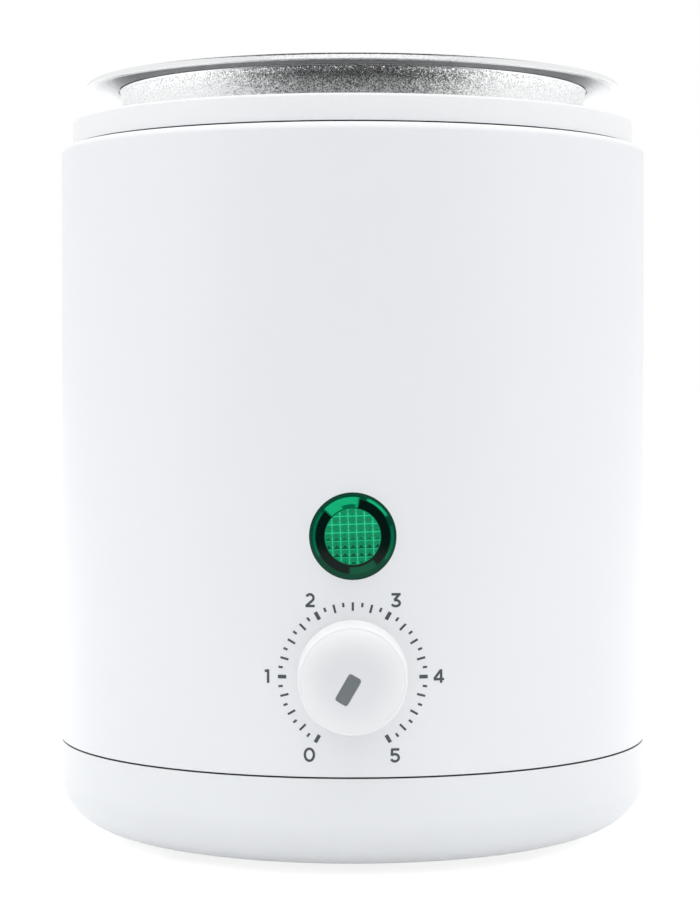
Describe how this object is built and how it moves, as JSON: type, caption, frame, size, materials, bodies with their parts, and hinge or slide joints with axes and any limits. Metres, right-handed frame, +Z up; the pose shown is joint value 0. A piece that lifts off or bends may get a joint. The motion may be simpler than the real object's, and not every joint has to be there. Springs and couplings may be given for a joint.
{
  "type": "wax warmer",
  "caption": "Round countertop wax warmer with a heated well, a lift-out metal pot, a rotary heat knob with a numbered dial and a green pilot lamp.",
  "frame": {"origin": "on the surface the feet stand on, under the middle of the overall box: 0.7 mm in front of the axis of the round body", "axes": "+Z up along the body's axis, -Y towards the user: the knob and the lamp face -Y, and the cord gland faces +Y"},
  "size_m": [0.12, 0.141, 0.1534],
  "materials": {
    "white_plastic": "moulded, satin gloss",
    "knob_plastic": "moulded, satin gloss",
    "pointer_plastic": "matt print grey",
    "spun_aluminium": "spun, satin",
    "cast_aluminium": "cast, blasted",
    "sheet_steel": "rolled",
    "zinc_steel": "zinc plated",
    "brass": "plain",
    "copper": "drawn copper",
    "band_steel": "heat stained",
    "silicone": "moulded silicone",
    "rubber": "moulded rubber",
    "bakelite": "moulded phenolic",
    "black_nylon": "moulded nylon",
    "pale_nylon": "moulded nylon",
    "green_lens": "clear green polycarbonate",
    "clear_glass": "clear",
    "brown_wire": "extruded sleeve",
    "blue_wire": "extruded sleeve",
    "green_wire": "extruded sleeve",
    "cream_wire": "braided glass sleeve"
  },
  "bodies": {
    "housing": {"body_shell": "white_plastic", "collar_ring": "white_plastic", "base_pan": "white_plastic", "heating_well": "cast_aluminium", "heat_shield": "sheet_steel", "thermal_fuse": "sheet_steel", "lamp_clip": "sheet_steel", "base_screw_1": "zinc_steel", "base_screw_2": "zinc_steel", "base_screw_3": "zinc_steel", "base_screw_4": "zinc_steel", "collar_screw_1": "zinc_steel", "collar_screw_2": "zinc_steel", "collar_screw_3": "zinc_steel", "band_clamp_screw": "zinc_steel", "band_clamp_nut": "zinc_steel", "thermostat_bracket": "zinc_steel", "control_washer": "zinc_steel", "bulb_clip": "zinc_steel", "fuse_clip": "zinc_steel", "bulb_clip_screw_1": "zinc_steel", "bulb_clip_screw_2": "zinc_steel", "fuse_clip_screw": "zinc_steel", "earth_screw": "zinc_steel", "terminal_block_screw_1": "zinc_steel", "terminal_block_screw_2": "zinc_steel", "control_nut": "brass", "thermostat_tab_1": "brass", "thermostat_tab_2": "brass", "lamp_tab_1": "brass", "lamp_tab_2": "brass", "earth_tag": "brass", "sensor_bulb": "copper", "capillary_tube": "copper", "heater_band": "band_steel", "well_gasket": "silicone", "rubber_foot_1": "rubber", "rubber_foot_2": "rubber", "rubber_foot_3": "rubber", "rubber_foot_4": "rubber", "thermostat_case": "bakelite", "cord_gland": "black_nylon", "gland_nut": "black_nylon", "terminal_block": "pale_nylon", "lamp_holder": "pale_nylon", "lamp_lens": "green_lens", "neon_bulb": "clear_glass", "live_wire": "brown_wire", "lamp_live_wire": "brown_wire", "neutral_wire": "blue_wire", "lamp_neutral_wire": "blue_wire", "earth_wire": "green_wire", "fuse_wire": "cream_wire", "heater_wire": "cream_wire"},
    "pot": {"insert_pot": "spun_aluminium"},
    "knob": {"control_knob": "knob_plastic", "knob_pointer": "pointer_plastic", "control_spindle": "zinc_steel"}
  },
  "joints": [
    {"name": "pot_lift", "type": "slide", "parent": "housing", "child": "pot", "axis": [0, 0, 1], "range_m": [0, 0.09]},
    {"name": "knob_turn", "type": "hinge", "parent": "housing", "child": "knob", "pos_m": [0, -0.0593, 0.0387], "axis": [0, 1, 0], "range_deg": [0, 300]}
  ]
}
